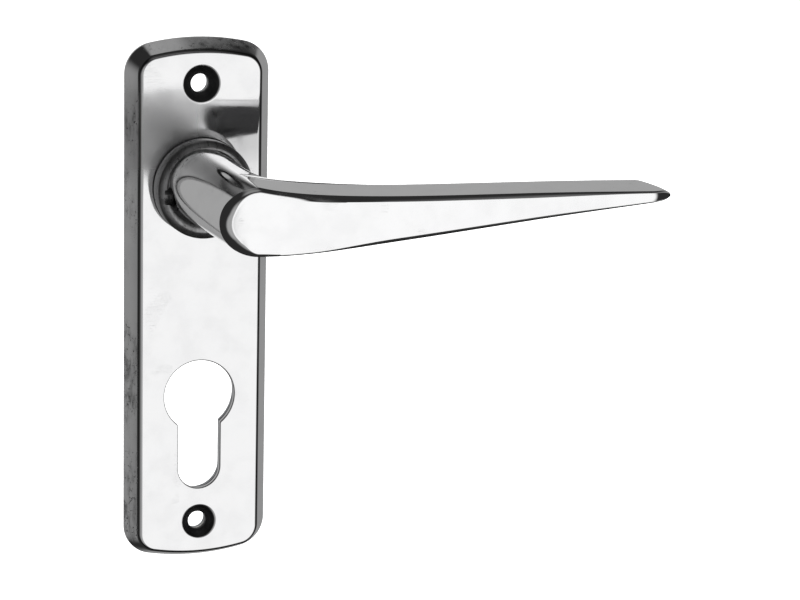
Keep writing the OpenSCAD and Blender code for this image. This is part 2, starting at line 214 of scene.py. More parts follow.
# %% Draw one contour of the cylinder's cut-out
openings = {o["name"]: o["box_m"] for o in record["physics"]["openings"]}
barrel_z = (openings["cylinder_round"][0][2] + openings["cylinder_round"][1][2]) / 2
barrel_radius = 9.35 * mm
slot_half = 5.6 * mm
cut_out_height = 34.2 * mm
slot_z = barrel_z + barrel_radius - cut_out_height + slot_half
shoulder_radius = 0.9 * mm
print("the cut-out's barrel is", round(barrel_z / mm, 1), "mm from the spindle")


def cut_out(bm, grow, out):
    """The keyhole cut-out, widened by grow, at a distance out of the door."""
    barrel, slot, shoulder = barrel_radius + grow, slot_half + grow, shoulder_radius - grow
    side = slot_half + shoulder_radius
    drop = math.sqrt((barrel_radius + shoulder_radius) ** 2 - side ** 2)
    swing = math.degrees(math.atan2(drop, side))

    def right_half():
        v = bm.verts.new((0, -out, slot_z - slot))
        v = arc_from(bm, v, 0, slot_z, 90, 16)
        v = run_from(bm, v, barrel_z - drop, 10)
        v = arc_from(bm, v, side, barrel_z - drop, -swing, 8)
        arc_from(bm, v, 0, barrel_z, 90 + swing, 40)

    return mirrored_loop(bm, right_half)


# %% Draw a round contour
def ring(bm, radius, out, z=0, segments=96):
    """A circle round a point at height z on the cover's middle line."""
    place = Matrix.Translation((0, -out, z)) @ Matrix.Rotation(math.pi / 2, 4, "X")
    made = bmesh.ops.create_circle(bm, segments=segments, radius=radius, matrix=place)
    return list({e for v in made["verts"] for e in v.link_edges})


# %% Press a countersink round each screw hole
mounts = {m["name"]: m for m in record["mounts"]}
screws = mounts["fixing_screws"]
screw_radius = screws["dims"]["hole_r_mm"] * mm
half_spacing = screws["dims"]["spacing_y_mm"] * mm / 2
screw_high = screws["pos_m"][2] + half_spacing
screw_low = screws["pos_m"][2] - half_spacing
sink_high, sink_low = 4.85 * mm, 4.45 * mm
sink_depth = 1.5 * mm
lip_radius = 1.3 * mm
punch_round = 0.12 * mm
dimple_back = back_of_sheet - sink_depth
print("the screws stand", round(2 * half_spacing / mm, 1), "mm apart")


def dimple(bm, z, sink_radius):
    """A countersink pressed into the sheet: a soft lip, a cone, the punched hole and the back."""
    lean = math.atan2(sink_depth, sink_radius - screw_radius)
    start = sink_radius + lip_radius * math.tan(lean / 2)
    front = [(start + flat_margin, face_out)]
    front += [(start - lip_radius * math.sin(a), face_out - lip_radius * (1 - math.cos(a)))
              for a in turned(8, 0, lean)]
    floor_of_sink = face_out - sink_depth
    hole = [(screw_radius + punch_round, floor_of_sink + 0.6 * punch_round),
            (screw_radius, floor_of_sink - 0.8 * punch_round), (screw_radius, dimple_back)]
    back_start = start + flat_margin
    back = [(back_start - (back_of_sheet - dimple_back) / math.tan(lean), dimple_back),
            (back_start, back_of_sheet)]
    loops = [ring(bm, r, out, z, 64) for r, out in front + hole + back]
    bridge(bm, loops)
    return loops[0], loops[-1]


# %% Press the cover
neck_hole_radius = 10.1 * mm
cut_round = 0.3 * mm
print("the neck's hole is", round(2 * neck_hole_radius / mm, 1), "mm wide")


def cover_sheet():
    """The whole cover: its border, cut-out, neck hole and two dimples, filled front and back."""
    bm = bmesh.new()
    border = [outline(bm, inset, out) for inset, out in outside + inside]
    bridge(bm, border[:len(outside)])
    bridge(bm, border[len(outside):] + border[:1])
    cut = [cut_out(bm, cut_round + flat_margin, face_out)]
    cut += [cut_out(bm, cut_round * (1 - math.sin(a)), face_out - cut_round * (1 - math.cos(a)))
            for a in turned(5, 0, math.pi / 2)]
    cut.append(cut_out(bm, 0, back_of_sheet))
    neck = [ring(bm, neck_hole_radius, out) for out in (face_out, back_of_sheet)]
    bridge(bm, cut)
    bridge(bm, neck)
    dimples = [dimple(bm, screw_high, sink_high), dimple(bm, screw_low, sink_low)]
    front = border[len(outside) - 1] + cut[0] + neck[0] + dimples[0][0] + dimples[1][0]
    back = border[len(outside)] + cut[-1] + neck[-1] + dimples[0][1] + dimples[1][1]
    for edges, away in ((front, (0, -1, 0)), (back, (0, 1, 0))):
        bmesh.ops.triangle_fill(bm, use_beauty=True, use_dissolve=False, edges=edges, normal=away)
    return finish_piece(bm, "cover_plate", "plate", "polished_plate", "backplate")


cover = cover_sheet()

# %% [markdown]
# ## The lever
# The real lever is one casting: a shank that turns in the plate's bush, a collar, a round neck, and a
# blade that is ground flat on top and in front and tapers to a rounded point. Separate solids would
# show a seam at the neck, so the whole surface is one skin. It starts as a single circle, which is
# extruded from contour to contour; after each extrusion the new contour is pulled into shape. Every
# contour has the same points in the same order, so the skin stays made of even four-sided faces.

# %% Name the lever's sizes
lever_low, lever_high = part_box("lever")
tip_x = lever_high.x
front_out = -lever_low.y
shank_end_out = -lever_high.y
collar_radius = -lever_low.x
running_gap = 0.08 * mm
collar_back = -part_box("neck_bush")[0].y + running_gap
collar_front = collar_back + 5 * mm
blade_depth = 14 * mm
blade_back = front_out - blade_depth
print("the lever is", round(tip_x / mm), "mm long, and its blade", round(blade_depth / mm), "mm deep")
print("its face is", round(front_out / mm), "mm out of the door")


# %% Describe the blade's outline with three cubic curves
blade_height = 18.1 * mm
reach = (0, 0.204, 0.519, 1)
top_line = (0.475, 0.126, 0.229, 0.133)
low_line = (-0.525, -0.567, -0.284, -0.019)
tip_length = 3.6 * mm
tip_back = 2.8 * mm
top_lift = 0.95 * mm
undercut = 0.35
print("the blade is", round(blade_height / mm, 1), "mm high at its root")


def cubic(p, t):
    """A cubic curve through its first and last control value."""
    u = 1 - t
    return p[0] * u ** 3 + 3 * p[1] * t * u ** 2 + 3 * p[2] * t ** 2 * u + p[3] * t ** 3


def drawn_in(half, inset):
    """Half a height drawn in by an inset, so that the thin end of the blade never turns inside out."""
    return half * half / (half + inset)


def blade_edge(t, side, front, inset):
    """(x, z) and half height on the top (side 1) or lower (-1) edge; front is 0 at the blade's back."""
    middle = blade_height * (cubic(top_line, t) + cubic(low_line, t)) / 2
    half = blade_height * (cubic(top_line, t) - cubic(low_line, t)) / 2
    run = tip_x - tip_length - tip_back * (1 - front) ** 2
    shift = (1 - front) * (1 - (1 - t) ** 4) * (top_lift if side > 0 else 2 * half * undercut)
    return run * cubic(reach, t), middle + shift + side * drawn_in(half, inset), half


def blade_tip(degrees, front, inset):
    """(x, z) and half height on the rounded tip, from -90 below to 90 on top."""
    a = math.radians(degrees)
    low, top = blade_edge(1, -1, front, inset), blade_edge(1, 1, front, inset)
    return (low[0] + drawn_in(tip_length, inset / 2) * math.cos(a),
            (low[1] + top[1]) / 2 + math.sin(a) * (top[1] - low[1]) / 2, low[2])


# %% Find the angle, and the place along the blade, of each point of a contour
root_n, edge_n, tip_n = 64, 90, 28
ring_n = root_n + 2 * edge_n + tip_n


def along(i):
    """(angle round the neck, place 0 to 1 along the blade, side) of point i; side 0 is the tip."""
    lower = i - root_n
    tip = lower - edge_n
    upper = tip - tip_n
    if lower < 0:
        return 90 + 180 * i / root_n, 0, None
    if tip < 0:
        return 270 + 70 * lower / edge_n, lower / edge_n, -1
    if upper < 0:
        return -20 + 40 * tip / tip_n, -90 + 180 * tip / tip_n, 0
    return 20 + 70 * upper / edge_n, 1 - upper / edge_n, 1


places = [along(i) for i in range(ring_n)]
print("each contour has", ring_n, "points:", root_n, "round the root and", tip_n, "round the tip")

# %% Blend the round neck into the blade
neck_foot, foot_lift, foot_shift = 9.4 * mm, 1.4 * mm, -0.9 * mm
root_half_width, root_half_height = 9.6 * mm, 8.5 * mm
root_shift, root_drop = 2.0 * mm, 1.0 * mm
print("the neck is", round(2 * neck_foot / mm, 1), "mm thick at the collar")


def blend(first, second, share):
    """A value between first, at share 0, and second, at share 1."""
    return first + (second - first) * share


def shaped(i, out, spread, front, inset, edge_inset):
    """Point i of a contour between the round neck (spread 0) and the whole blade (spread 1). The neck
    leans: its foot is lifted and shifted on the collar, and the blade's root hangs lower."""
    degrees, t, side = places[i]
    a = math.radians(degrees)
    way = (out - collar_front) / (front_out - collar_front)
    wide = drawn_in(blend(neck_foot, root_half_width, way), inset)
    radius = drawn_in(blend(neck_foot, root_half_height, way), inset)
    drop = blend(-foot_lift, root_drop, way)
    shift = blend(foot_shift, root_shift, way)
    x, z = shift + wide * math.cos(a), radius * math.sin(a) - drop
    if side is None:
        return x, z
    bx, bz, _ = blade_tip(t, front, edge_inset) if side == 0 else blade_edge(t, side, front, edge_inset)
    if side != 0:
        bx += shift * (1 - t) ** 4
        bz += (side * radius - drop - blade_edge(0, side, 1, inset)[1]) * (1 - t) ** 4
    return blend(x, bx, spread), blend(z, bz, spread)


# %% [markdown]
# The front of the blade is not a flat face with a rounded corner. A crisp ridge runs all round it, then
# a narrow ground bevel, and then a very slight crown. Round the root the bevel opens into a wide soft
# roll, and at the point the whole face turns away. So each point of the contour gets its own depth,
# summed from the slope of the bevel at each step.

# %% Describe the bevel and the crown of the blade's front
bevel_root, bevel_crease = 4 * mm, 2.4 * mm
bevel_blade, bevel_low, bevel_tip = 1.45 * mm, 0.4 * mm, 0.65 * mm
steep = math.radians(47)
flat_enough = math.radians(43)
crown_root, crown_blade = 0.25 * mm, 0.06 * mm
bevel_steps = 10
nose_start, nose_radius, nose_slope = tip_x - 5.6 * mm, 3 * mm, math.radians(21)
print("the bevel is", bevel_root / mm, "mm wide at the root's left and", bevel_tip / mm, "mm at the tip")


def eased(value, start, end):
    """0 as far as start, 1 from end on, and a smooth step between."""
    x = max(0, min(1, (value - start) / (end - start)))
    return x * x * (3 - 2 * x)


def softness(i):
    """1 round the root, where the bevel is a wide soft roll, and 0 along the blade."""
    degrees, t, side = places[i]
    if side is None:
        return 1 - 0.4 * eased(degrees, 225, 270)
    if side == 0:
        return 0
    return 1 - eased(t, 0.08, 0.44) if side > 0 else 0.6 * eased(t, 0.12, 0)


def bevel_width(i):
    """How wide the bevel is at point i: widest at the root's left, narrow below and at the tip."""
    degrees, t, side = places[i]
    if side is None:
        widest = blend(bevel_crease, bevel_root, eased(degrees, 100, 160))
        return blend(widest, 2 * bevel_low, eased(degrees, 220, 270))
    if side == 0:
        return bevel_tip
    if side > 0:
        width = blend(bevel_blade, bevel_crease, softness(i))
    else:
        width = (2 - eased(t, 0, 0.1)) * bevel_low + (bevel_blade - bevel_low) * eased(t, 0.2, 0.45)
    return blend(width, bevel_tip, eased(t, 0.75, 1))


def bevel_at(i, share):
    """(inset, depth) at a share of the bevel's width, from the ridge inwards. Its slope starts steep
    and dies away to nothing where the bevel is soft, quickly on top and more slowly at the left."""
    soft = softness(i)
    degrees, _, side = places[i]
    end = flat_enough * (1 - soft)
    fade = 2.2 - 0.9 * eased(degrees, 100, 160) if side is None else 1 + 1.4 * soft
    depth = 0
    for k in range(round(share * bevel_steps)):
        here = (k + 0.5) / bevel_steps
        slope = blend(end, steep, (1 - here) ** fade)
        depth += math.tan(slope) * bevel_width(i) / bevel_steps
    return bevel_width(i) * share, depth


def middle_of(i):
    """(x, z) on the blade's middle line, level with point i; the root's points share its first point."""
    _, t, side = places[i]
    level = 0 if side is None else t if side else 1
    low, top = (blade_edge(level, s, 1, 0) for s in (-1, 1))
    return low[0], (low[1] + top[1]) / 2


def front_point(i, share, inward):
    """Point i of the front: on the bevel while inward is 0, and then over the crown, up to inward 1."""
    inset, depth = bevel_at(i, share)
    _, full_depth = bevel_at(i, 1)
    soft = softness(i)
    x, z = shaped(i, front_out, 1, 1, inset, inset)
    middle = middle_of(i)
    x, z = blend(x, middle[0], inward), blend(z, middle[1], inward)
    rise = blend(crown_blade, crown_root, soft) * (1 - inward) ** 2
    past = max(0, x - nose_start)
    rounded = min(past, nose_radius * math.sin(nose_slope))
    nose = nose_radius - math.sqrt(nose_radius ** 2 - rounded ** 2)
    nose += (past - rounded) * math.tan(nose_slope)
    return x, front_out - (full_depth - depth) - rise - nose, z


# %% [markdown]
# Separate loops could be bridged, as the cover's were, but a bridge has to guess which points belong
# together, and on a shape that turns from a circle into a long blade it guesses wrong. Here one loop is
# extruded again and again, so point 12 of one contour always joins point 12 of the next.

# %% Pull the skin from contour to contour
class Skin:
    """A bmesh with one open contour, which each pull extrudes and puts in a new place."""

    def __init__(self, places_of):
        self.bm = bmesh.new()
        self.ring = bmesh.ops.create_circle(self.bm, segments=ring_n, radius=1)["verts"]
        self.put(places_of)

    def put(self, places_of):
        """Puts every point of the open contour where places_of says, as (x, out, z)."""
        for i, v in enumerate(self.ring):
            x, out, z = places_of(i)
            v.co = (x, -out, z)

    def pull(self, places_of):
        """Extrudes the open contour, keeping its points in order, and puts it in its new place."""
        edges = [self.bm.edges.get((a, b)) for a, b in zip(self.ring, self.ring[1:] + self.ring[:1])]
        made = bmesh.ops.extrude_edge_only(self.bm, edges=edges)["geom"]
        fresh = {v for v in made if isinstance(v, bmesh.types.BMVert)}
        following = []
        for v in self.ring:
            following.append(next(e.other_vert(v) for e in v.link_edges if e.other_vert(v) in fresh))
        self.ring = following
        self.put(places_of)

    def cap(self):
        """Closes the open contour with one face."""
        bmesh.ops.contextual_create(self.bm, geom=self.ring)


def disc_at(radius, out, flat=None):
    """A round contour, with two flats at plus and minus flat if it is given."""
    def place(i):
        a = math.radians(places[i][0])
        x = radius * math.cos(a)
        return (x if flat is None else max(-flat, min(flat, x))), out, radius * math.sin(a)
    return place


def square_at(half, out):
    """A square contour, for the bore that takes the spindle."""
    def place(i):
        a = math.radians(places[i][0])
        grow = half / max(abs(math.cos(a)), abs(math.sin(a)))
        return grow * math.cos(a), out, grow * math.sin(a)
    return place


# %% [markdown]
# After casting, the shank is turned to a running fit in the bush. Two flats on it drive the disc behind
# the plate, and a groove takes the circlip. The skin starts at the blind end of the spindle's square
# bore, comes out of it and goes round the shank's end, so the bore needs no cutting.

# %% Turn the shank
shank_radius = 8.5 * mm
bore, bore_end = 4.05 * mm, 37 * mm
end_chamfer = 0.4 * mm
flat = shank_radius - 1.5 * mm
flat_end = -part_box("thrust_washer")[1].y
clip_low, clip_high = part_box("circlip")
clip_gap = 0.03 * mm
groove_back, groove_front = -clip_high.y - clip_gap, -clip_low.y + clip_gap
groove = shank_radius - 0.45 * mm
groove_flat = flat - 0.1 * mm
print("the circlip's groove is", round((groove_front - groove_back) / mm, 2), "mm wide")


def pull_shank(skin):
    """Out of the bore, round the shank's end, over the groove and along to the collar."""
    skin.pull(square_at(bore, shank_end_out))
    for radius, out, flats in (
            (shank_radius - end_chamfer, shank_end_out, flat),
            (shank_radius, shank_end_out + end_chamfer, flat),
            (shank_radius, groove_back, flat),
            (groove, groove_back, groove_flat),
            (groove, groove_front, groove_flat),
            (shank_radius, groove_front, flat),
            (shank_radius, flat_end, flat),
            (shank_radius, flat_end, None),
            (shank_radius, collar_back, None)):
        skin.pull(disc_at(radius, out, flats))


# %% Turn the collar
chamfer_in, chamfer_out = 1.6 * mm, 0.85 * mm
soft_edge = 0.15 * mm
collar_face = collar_radius - chamfer_in
print("the collar is", round(2 * collar_radius / mm, 1), "mm across")


def pull_collar(skin):
    """The collar's softened back edge, its rim, and the chamfer round its front."""
    for radius, out in (
            (collar_radius - soft_edge, collar_back),
            (collar_radius, collar_back + soft_edge),
            (collar_radius, collar_front - chamfer_out - soft_edge),
            (collar_radius - soft_edge, collar_front - chamfer_out + soft_edge / 2),
            (collar_face + soft_edge, collar_front - soft_edge / 2),
            (collar_face - soft_edge, collar_front)):
        skin.pull(disc_at(radius, out))


# %% [markdown]
# The neck grows out of the collar in a small fillet and leans a little. At the blade's back it spreads
# in a wide fillet of nearly a quarter round, and the blade's back edge has a small round of its own. The
# side walls then lead to the crisp ridge. Each of these is only another rule for where the next contour
# goes.

# %% Draw the neck out of the collar
foot_fillet, above_foot = 1.5 * mm, 0.4 * mm
fillet = 12 * mm
fillet_steps, fillet_turn = 13, math.radians(6)
back_round = 1.2 * mm
print("the neck runs", round((blade_back - fillet - collar_front) / mm, 1), "mm before it spreads")


def placed(i, out, spread=0, front=0, edge_inset=0):
    """Point i of a contour, as (x, out, z)."""
    x, z = shaped(i, out, spread, front, 0, edge_inset)
    return x, out, z


def between(first, second, across, along_axis):
    """A point between two, with one share across the axis and another along it."""
    return tuple(blend(a, b, s) for a, b, s in zip(first, second, (across, along_axis, across)))


def pull_neck(skin):
    """The fillet on the collar, the leaning neck, and the wide fillet at the blade's back."""
    edge = disc_at(collar_face - 3 * soft_edge, collar_front)
    foot, neck_end = collar_front + foot_fillet, blade_back - fillet
    for a in turned(8, 0, math.pi / 2):
        skin.pull(lambda i: between(edge(i), placed(i, foot), math.sin(a), 1 - math.cos(a)))
    for out in turned(8, foot + above_foot, neck_end):
        skin.pull(lambda i: placed(i, out))
    for k in range(1, fillet_steps + 1):
        a = k * fillet_turn
        out = blade_back - fillet * (1 - math.sin(a))
        spread = fillet * (1 - math.cos(a)) / tip_x
        skin.pull(lambda i: placed(i, out, spread, edge_inset=back_round))


# %% Shape the blade
back_lean = 0.08 * mm
back_spread = 1.25 * fillet / tip_x
side_steps = 12
crown_steps = (0.03, 0.09, 0.18, 0.3, 0.45, 0.6, 0.75, 0.88, 1)
print("the blade's side walls take", side_steps, "contours and its bevel", bevel_steps)


def side_point(i, share):
    """Point i on the blade's side wall, at a share of the way from the rounded back to the ridge."""
    ridge = front_point(i, 0, 0)
    start = blade_back + back_round
    out = start + (ridge[1] - start) * share
    front = (out - blade_back) / blade_depth
    return placed(i, out, 1, front + (1 - front) * share ** 3)


def pull_blade(skin):
    """The blade's flat back with its rounded edge, the side walls, the bevel and the crowned front."""
    skin.pull(lambda i: placed(i, blade_back - back_lean, back_spread, edge_inset=back_round))
    for a in turned(5, 0, math.pi / 2):
        deep, edge_inset = back_round * (1 - math.cos(a)), back_round * (1 - math.sin(a))
        skin.pull(lambda i: placed(i, blade_back + deep, 1, deep / blade_depth, edge_inset))
    for k in range(1, side_steps + 1):
        skin.pull(lambda i: side_point(i, k / side_steps))
    for k in range(1, bevel_steps + 1):
        skin.pull(lambda i: front_point(i, k / bevel_steps, 0))
    for inward in crown_steps:
        skin.pull(lambda i: front_point(i, 1, inward))


# %% [markdown]
# A small screw without a head, a grub screw, holds the lever on the spindle. Its hole is drilled into
# the left of the neck beside the collar. There its mouth runs over curved surfaces and isn't a simple
# loop, so a cylinder the size of the drill is subtracted instead. The exact solver of the Boolean
# modifier does this cleanly when both solids are closed, so any open rim is filled first. The cut stops
# just short of the bore, where the screw hides it, and so never meets the bore's flat wall.

# %% Drill the hole for the grub screw
grub_hole = 3 * mm
grub_low, grub_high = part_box("grub_screw")
left_at_bore = 0.4 * mm
drill_length = neck_foot + 1.2 * mm + grub_high.x
print("the drill is", round(2 * grub_hole / mm), "mm thick and", round(drill_length / mm, 1), "mm long")


def as_object(bm, name):
    """Turns a bmesh into an object for the Boolean modifier, and frees the bmesh."""
    mesh = bpy.data.meshes.new(name)
    bm.to_mesh(mesh)
    bm.free()
    solid = bpy.data.objects.new(name, mesh)
    scene.collection.objects.link(solid)
    return solid


def grub_drill():
    """A cylinder that reaches from outside the neck nearly to the grub screw's inner end."""
    bm = bmesh.new()
    centre = (grub_low + grub_high) / 2
    centre.x = grub_high.x - left_at_bore - drill_length / 2
    place = Matrix.Translation(centre) @ Matrix.Rotation(math.radians(90), 4, "Y")
    bmesh.ops.create_cone(bm, cap_ends=True, segments=40, radius1=grub_hole, radius2=grub_hole,
                          depth=drill_length, matrix=place)
    return as_object(bm, "drill")


def drilled(bm):
    """The casting with the grub screw's hole in it, as a new bmesh."""
    bmesh.ops.remove_doubles(bm, verts=bm.verts, dist=0.001 * mm)
    bmesh.ops.holes_fill(bm, edges=[e for e in bm.edges if e.is_boundary], sides=0)
    bmesh.ops.recalc_face_normals(bm, faces=bm.faces)
    casting, drill = as_object(bm, "casting"), grub_drill()
    cut = casting.modifiers.new("hole", "BOOLEAN")
    cut.operation, cut.solver, cut.object = "DIFFERENCE", "EXACT", drill
    made = casting.evaluated_get(bpy.context.evaluated_depsgraph_get())
    result = bmesh.new()
    result.from_mesh(made.to_mesh())
    for solid in (casting, drill):
        bpy.data.objects.remove(solid)
    print("the drilled casting has", len(result.faces), "faces")
    return result


# %% Cast the lever
def lever_casting():
    """The whole lever in one skin, from the bore's blind end to the middle of the blade's front."""
    skin = Skin(square_at(bore, bore_end))
    skin.cap()
    for pull_part in (pull_shank, pull_collar, pull_neck, pull_blade):
        pull_part(skin)
    return finish_piece(drilled(skin.bm), "lever_arm", "lever", "polished_lever", "lever")


lever = lever_casting()

# %% [markdown]
# ## Polished aluminium
# Polished aluminium is a pale mirror, but never a perfect one. Buffing leaves the surface faintly wavy,
# so straight reflections bend; handling leaves hairlines; and where the polish wore away, small pits
# gather dirt. One function builds the metal, and its arguments say how wavy, how scratched, how pitted
# and where it was left as it came from the mould or the press. Those unpolished places are also painted
# a very dark grey, far darker than raw aluminium, which is painted shade, and the cover's rolled edges
# get a band of painted shade. An image of metal wrapped round the piece would be quicker, but it would
# carry its own reflections, which would turn with the lever.

# %% Small helpers for node trees
class Tree:
    """The nodes of a material or of the world, added and linked in one call."""

    def __init__(self, owner):
        owner.use_nodes = True
        self.owner = owner
        self.nodes = owner.node_tree.nodes
        self.links = owner.node_tree.links
        shader = "Background" if isinstance(owner, bpy.types.World) else "Principled BSDF"
        self.shader = self.nodes[shader].inputs
        self.coordinates = self.nodes.new("ShaderNodeTexCoord").outputs

    def feed(self, socket, value):
        """Links a socket to another node, or sets it to a constant."""
        if isinstance(value, bpy.types.NodeSocket):
            self.links.new(value, socket)
        else:
            socket.default_value = value

    def add(self, kind, values=None, **settings):
        """Adds a node with its settings and its sockets' values, and returns its outputs."""
        node = self.nodes.new("ShaderNode" + kind)
        for name, value in settings.items():
            setattr(node, name, value)
        for name, value in (values or {}).items():
            self.feed(node.inputs[name], value)
        return node.outputs

    def math(self, operation, *values, clamp=False):
        return self.add("Math", dict(enumerate(values)), operation=operation, use_clamp=clamp)[0]

    def ramp(self, value, low, high, start=0.0, end=1.0):
        """A smooth step: start where value is low, and end where it is high."""
        made = self.add("MapRange", {"Value": value, "From Min": low, "From Max": high,
                                     "To Min": start, "To Max": end}, interpolation_type="SMOOTHSTEP")
        return made["Result"]

    def split(self, kind):
        """X, Y and Z of where a point of the piece is (Object) or of which way it faces (Normal)."""
        return self.add("SeparateXYZ", {"Vector": self.coordinates[kind]})

    def noise(self, size, detail=2.0, stretch=(1, 1, 1), turn=(0, 0, 0), roughness=0.5):
        """Noise whose lumps are about size metres across, stretched and turned if asked."""
        place = self.add("Mapping", {"Vector": self.coordinates["Object"], "Rotation": turn,
                                     "Scale": [s / size for s in stretch]})["Vector"]
        return self.add("TexNoise", {"Vector": place, "Scale": 1.0, "Detail": detail,
                                     "Roughness": roughness})["Fac"]

    def mix(self, share, first, second):
        """A colour between two. The Mix node keeps its two colours in sockets 6 and 7."""
        return self.add("Mix", {"Factor": share, 6: first, 7: second}, data_type="RGBA")[2]

    def bumps(self, layers):
        """Stacks bumps: each layer is (height, strength, distance in metres)."""
        normal = {}
        for height, strength, distance in layers:
            values = {"Height": height, "Strength": strength, "Distance": distance, **normal}
            normal = {"Normal": self.add("Bump", values)["Normal"]}
        self.feed(self.shader["Normal"], normal["Normal"])


# %% Scratch a metal and lay marks on it
scratch_reach = 0.012


def hairlines(tree, turn, width, share):
    """Sparse, thin, nearly straight scratches across the XZ plane, turned by an angle in degrees. They
    are the crests of a noise that is drawn out along the scratch, on a share of the surface."""
    lines = tree.noise(width, 1.0, (scratch_reach, scratch_reach, 1), (0, math.radians(turn), 0))
    crest = tree.math("ABSOLUTE", tree.math("SUBTRACT", lines, 0.5))
    thin = tree.ramp(crest, 0.0, 0.012, 1.0, 0.0)
    patch = tree.ramp(tree.noise(9 * mm, 1.0), 1 - share, 1.04 - share)
    return tree.math("MULTIPLY", thin, patch)


def marked(tree, colour, marks):
    """Lays grey marks over a colour: each is (where, how strongly, how light its grey is)."""
    for where, strength, grey in marks:
        colour = tree.mix(tree.math("MULTIPLY", where, strength), colour, (grey, grey, grey, 1))
    return colour


def roughened(tree, rough, marks):
    """Adds to a roughness: each mark is (where, how much)."""
    for where, amount in marks:
        rough = tree.math("ADD", rough, tree.math("MULTIPLY", where, amount), clamp=True)
    return rough


# %% Polish the aluminium
def polished_aluminium(name, shine, painted_edge_shade, waves, wave_size, unpolished_and_shaded, pitted,
                       dished=None, dulled=None):
    """Buffed aluminium. The last four are functions of the tree: the unpolished mask, pitted and dulled
    give masks from 0 to 1, and dished gives layers of bumps. The unpolished places are rougher and are
    also painted a very dark grey as painted shade, and the edge shade strength paints a dark band of
    shade on the rolled edges."""
    tree = Tree(bpy.data.materials.new(name))
    tree.feed(tree.shader["Metallic"], 1.0)
    raw_and_shaded = unpolished_and_shaded(tree)
    pits_here = pitted(tree)

    haze = tree.ramp(tree.noise(6 * mm, 4.0), 0.35, 0.75)
    grain = tree.noise(0.35 * mm, 3.0)
    blotches = tree.ramp(tree.noise(0.9 * mm, 3.0, roughness=0.65), 0.60, 0.68)
    pits = tree.math("MULTIPLY", blotches, pits_here)
    streaks = tree.ramp(tree.noise(1.6 * mm, 4.0, (1, 1, 0.3), roughness=0.6), 0.42, 0.72)
    smears = tree.math("MULTIPLY", streaks, pits_here)
    rising, falling = hairlines(tree, 38, 0.12 * mm, 0.36), hairlines(tree, -62, 0.1 * mm, 0.34)
    polished = tree.math("SUBTRACT", 1.0, raw_and_shaded)
    scratches = tree.math("MULTIPLY", tree.math("MAXIMUM", rising, falling), polished)
    # Painted shade: a dark grey band on faces turned about 15 to 40 degrees from the front, which are the
    # cover's rolled edges, the dimples' lips and the holes' rounded edges. It stands for the dark room
    # that these tilted faces would mirror. On the lever its strength is 0.
    facing = tree.split("Normal")["Y"]
    corner = tree.math("MULTIPLY", tree.ramp(facing, -0.97, -0.9), tree.ramp(facing, -0.74, -0.83))

    hazed = shine - 0.045
    bright = tree.mix(haze, (shine, shine, shine + 0.004, 1), (hazed, hazed, hazed + 0.005, 1))
    # Painted shade: the unpolished places take a grey of 0.1 to 0.2, far darker than raw aluminium. It
    # stands for the shade on the backs, in the countersinks and round the collar; their extra roughness
    # and bumps are real.
    dark_raw_and_painted_shade = tree.mix(grain, (0.10, 0.10, 0.103, 1), (0.2, 0.2, 0.204, 1))
    colour = marked(tree, tree.mix(raw_and_shaded, bright, dark_raw_and_painted_shade), [
        (corner, painted_edge_shade, 0.06), (smears, 0.9, 0.2), (pits, 0.85, 0.05), (scratches, 0.35, 0.5)])
    rough = roughened(tree, tree.ramp(haze, 0, 1, 0.055, 0.11), [
        (raw_and_shaded, 0.36), (pits, 0.3), (pits_here, 0.1), (scratches, 0.15)])
    if dulled:
        rough = roughened(tree, rough, [(dulled(tree), 0.26)])
    tree.feed(tree.shader["Base Color"], colour)
    tree.feed(tree.shader["Roughness"], rough)

    layers = dished(tree) if dished else []
    layers += [
        (tree.noise(wave_size, 1.0), waves, 0.2 * mm),
        (tree.math("MULTIPLY", tree.noise(0.8 * mm, 4.0), raw_and_shaded), 0.5, 0.12 * mm),
        (tree.math("SUBTRACT", 1.0, pits), 0.6, 0.05 * mm),
        (tree.math("SUBTRACT", 1.0, scratches), 0.25, 0.01 * mm)]
    tree.bumps(layers)
    return tree.owner


# %% [markdown]
# Where the polish is good and where it isn't follows from how the handle is made and used. The wheel
# can't reach the sheet's back or the bottom of a countersink. The left and top borders have pitted, and
# so has the foot of the neck, where the wheel passes least. Above the collar, fingers and cloths have
# dulled the face. Each of these is a mask from the place or the direction of a point on the piece. The
# unpolished places are also painted a very dark grey, a painted shade on the sheet's back, down in the
# countersinks, on the lever's back and round the collar.

# %% Say where the cover is unpolished and painted with shade, pitted and wiped dull
countersinks = ((screw_high, sink_high), (screw_low, sink_low))
print(len(countersinks), "countersinks keep the dull skin of the press")


def inside_of_cover(tree):
    """1 on the sheet's back and down in the countersinks, which nobody polishes; there the colour is also
    a painted shade of very dark grey.
    """
    mask = tree.ramp(tree.split("Normal")["Y"], 0.25, 0.6)
    place = tree.split("Object")
    across_squared = tree.math("MULTIPLY", place["X"], place["X"])
    for z, radius in countersinks:
        up = tree.math("SUBTRACT", place["Z"], z)
        away = tree.math("SQRT", tree.math("ADD", tree.math("MULTIPLY", up, up), across_squared))
        mask = tree.math("MAXIMUM", mask, tree.ramp(away, radius + 0.1 * mm, radius - 0.3 * mm))
    return mask


def worn_border(tree):
    """1 on the left and top borders of the cover, where the polish is pitted."""
    place = tree.split("Object")
    left = tree.ramp(place["X"], -half_width + 3.4 * mm, -half_width + 2.2 * mm)
    top = tree.ramp(place["Z"], plate_high.z - 3.8 * mm, plate_high.z - 2.6 * mm)
    spread = tree.ramp(tree.noise(14 * mm, 2.0), 0.38, 0.62)
    return tree.math("MULTIPLY", tree.math("MAXIMUM", left, top), spread)


